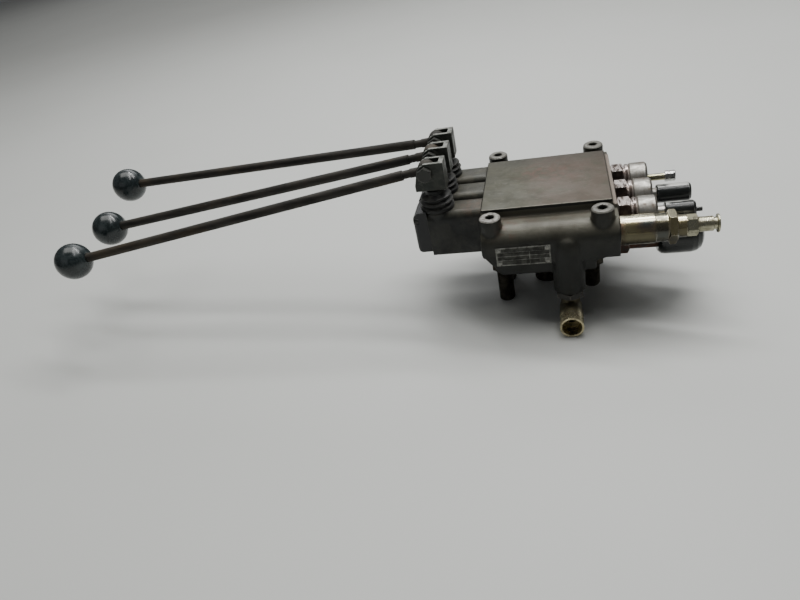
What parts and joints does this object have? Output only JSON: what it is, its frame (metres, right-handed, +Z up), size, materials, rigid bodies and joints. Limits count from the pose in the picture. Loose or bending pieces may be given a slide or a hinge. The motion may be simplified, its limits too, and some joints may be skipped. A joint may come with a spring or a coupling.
{
  "type": "hydraulic monoblock valve",
  "caption": "Cast monoblock directional valve with hand levers in rubber boots, spring caps, a side relief valve, bottom ports and a front elbow.",
  "frame": {"origin": "centre of the four mounting bosses, in the plane of their machined faces", "axes": "+X along the spools towards the spring caps, +Y to the plain rear face, +Z up out of the mounting bosses"},
  "size_m": [0.679, 0.195, 0.1625],
  "materials": {
    "cast_iron": "oily dark olive-grey cast iron, rust-tinted",
    "plate_metal": "worn blank aluminium plate",
    "rivet_metal": "domed aluminium",
    "plug_steel": "oily dark steel",
    "lever_box_iron": "oily dark casting",
    "black_cap": "black",
    "screw_steel": "black oxide",
    "pin_steel": "ground",
    "seal_rubber": "matt",
    "boot_rubber": "dusty black",
    "fork_steel": "forged, worn bright edges",
    "rod_steel": "dark brown oxide",
    "knob_plastic": "glossy black",
    "spool_steel": "ground",
    "tail_steel": "zinc plated",
    "spring_steel": "oiled",
    "collar_steel": "dark phosphate with bright chamfers",
    "cap_aluminium": "satin",
    "cover_black": "satin black",
    "relief_zinc": "yellow zinc plated, stained",
    "adjuster_zinc": "bright yellow zinc",
    "cartridge_rust": "rusty",
    "fitting_steel": "oily zinc plated",
    "washer_copper": "dull",
    "elbow_zinc": "yellow zinc plated, stained"
  },
  "bodies": {
    "valve": {"valve_block": "cast_iron", "nameplate": "plate_metal", "nameplate_rivets": "rivet_metal", "plugs": "plug_steel", "box_caps": "black_cap", "box_screws": "screw_steel", "lever_pivot_pins": "pin_steel", "spool_seals": "seal_rubber", "inner_spring_cups": "pin_steel", "end_collars": "collar_steel", "spring_caps": "cap_aluminium", "end_covers": "cover_black", "relief_body": "relief_zinc", "relief_lock_nut": "adjuster_zinc", "relief_spring": "spring_steel", "auxiliary_cartridge": "cartridge_rust", "auxiliary_cap": "cover_black", "a_port_adaptors": "fitting_steel", "b_port_adaptors": "fitting_steel", "tank_adaptor": "fitting_steel", "port_washers": "washer_copper", "inlet_collar": "plug_steel", "inlet_elbow": "elbow_zinc", "lever_box_1": "lever_box_iron", "bellows_1": "boot_rubber", "centring_spring_1": "spring_steel", "check_spring_1": "spring_steel", "lever_box_2": "lever_box_iron", "bellows_2": "boot_rubber", "centring_spring_2": "spring_steel", "check_spring_2": "spring_steel", "lever_box_3": "lever_box_iron", "bellows_3": "boot_rubber", "centring_spring_3": "spring_steel", "check_spring_3": "spring_steel"},
    "lever_1": {"lever_fork_1": "fork_steel", "clamp_bolt_1": "screw_steel", "lever_rod_1": "rod_steel", "knob_1": "knob_plastic"},
    "lever_2": {"lever_fork_2": "fork_steel", "clamp_bolt_2": "screw_steel", "lever_rod_2": "rod_steel", "knob_2": "knob_plastic"},
    "lever_3": {"lever_fork_3": "fork_steel", "clamp_bolt_3": "screw_steel", "lever_rod_3": "rod_steel", "knob_3": "knob_plastic"},
    "spool_body_1": {"spool_1": "spool_steel", "spool_tail_1": "tail_steel"},
    "spool_body_2": {"spool_2": "spool_steel", "spool_tail_2": "tail_steel"},
    "spool_body_3": {"spool_3": "spool_steel", "spool_tail_3": "tail_steel"},
    "relief_poppet_body": {"relief_poppet": "spool_steel"},
    "relief_adjuster_body": {"relief_adjuster": "adjuster_zinc"},
    "check_body_1": {"check_poppet_1": "spool_steel"},
    "check_body_2": {"check_poppet_2": "spool_steel"},
    "check_body_3": {"check_poppet_3": "spool_steel"}
  },
  "joints": [
    {"name": "lever_swing_1", "type": "hinge", "parent": "valve", "child": "lever_1", "pos_m": [-0.103, -0.037, -0.002], "axis": [0, 1, 0], "range_deg": [-12, 12], "stiffness_Nm_per_rad": 25, "springref_deg": 1.6, "deforming": ["bellows_1"]},
    {"name": "lever_swing_2", "type": "hinge", "parent": "valve", "child": "lever_2", "pos_m": [-0.103, 0, -0.002], "axis": [0, 1, 0], "range_deg": [-12, 12], "stiffness_Nm_per_rad": 25, "springref_deg": 1.6, "deforming": ["bellows_2"]},
    {"name": "lever_swing_3", "type": "hinge", "parent": "valve", "child": "lever_3", "pos_m": [-0.103, 0.037, -0.002], "axis": [0, 1, 0], "range_deg": [-12, 12], "stiffness_Nm_per_rad": 25, "springref_deg": 1.6, "deforming": ["bellows_3"]},
    {"name": "spool_slide_1", "type": "slide", "parent": "valve", "child": "spool_body_1", "axis": [1, 0, 0], "range_m": [-0.0057, 0.0057], "deforming": ["centring_spring_1"]},
    {"name": "spool_slide_2", "type": "slide", "parent": "valve", "child": "spool_body_2", "axis": [1, 0, 0], "range_m": [-0.0057, 0.0057], "deforming": ["centring_spring_2"]},
    {"name": "spool_slide_3", "type": "slide", "parent": "valve", "child": "spool_body_3", "axis": [1, 0, 0], "range_m": [-0.0057, 0.0057], "deforming": ["centring_spring_3"]},
    {"name": "relief_poppet_lift", "type": "slide", "parent": "valve", "child": "relief_poppet_body", "axis": [1, 0, 0], "range_m": [0, 0.002], "stiffness_N_per_m": 500, "springref_m": -0.004, "deforming": ["relief_spring"]},
    {"name": "relief_adjuster_turn", "type": "hinge", "parent": "valve", "child": "relief_adjuster_body", "pos_m": [0.14, -0.068, -0.0275], "axis": [1, 0, 0], "range_deg": [-180, 180]},
    {"name": "check_lift_1", "type": "slide", "parent": "valve", "child": "check_body_1", "axis": [0, 0, -1], "range_m": [0, 0.002], "stiffness_N_per_m": 200, "springref_m": -0.004, "deforming": ["check_spring_1"]},
    {"name": "check_lift_2", "type": "slide", "parent": "valve", "child": "check_body_2", "axis": [0, 0, -1], "range_m": [0, 0.002], "stiffness_N_per_m": 200, "springref_m": -0.004, "deforming": ["check_spring_2"]},
    {"name": "check_lift_3", "type": "slide", "parent": "valve", "child": "check_body_3", "axis": [0, 0, -1], "range_m": [0, 0.002], "stiffness_N_per_m": 200, "springref_m": -0.004, "deforming": ["check_spring_3"]}
  ],
  "couplings": [
    {"joint": "spool_slide_1", "follows": "lever_swing_1", "m_per_rad": -0.027},
    {"joint": "spool_slide_2", "follows": "lever_swing_2", "m_per_rad": -0.027},
    {"joint": "spool_slide_3", "follows": "lever_swing_3", "m_per_rad": -0.027}
  ]
}
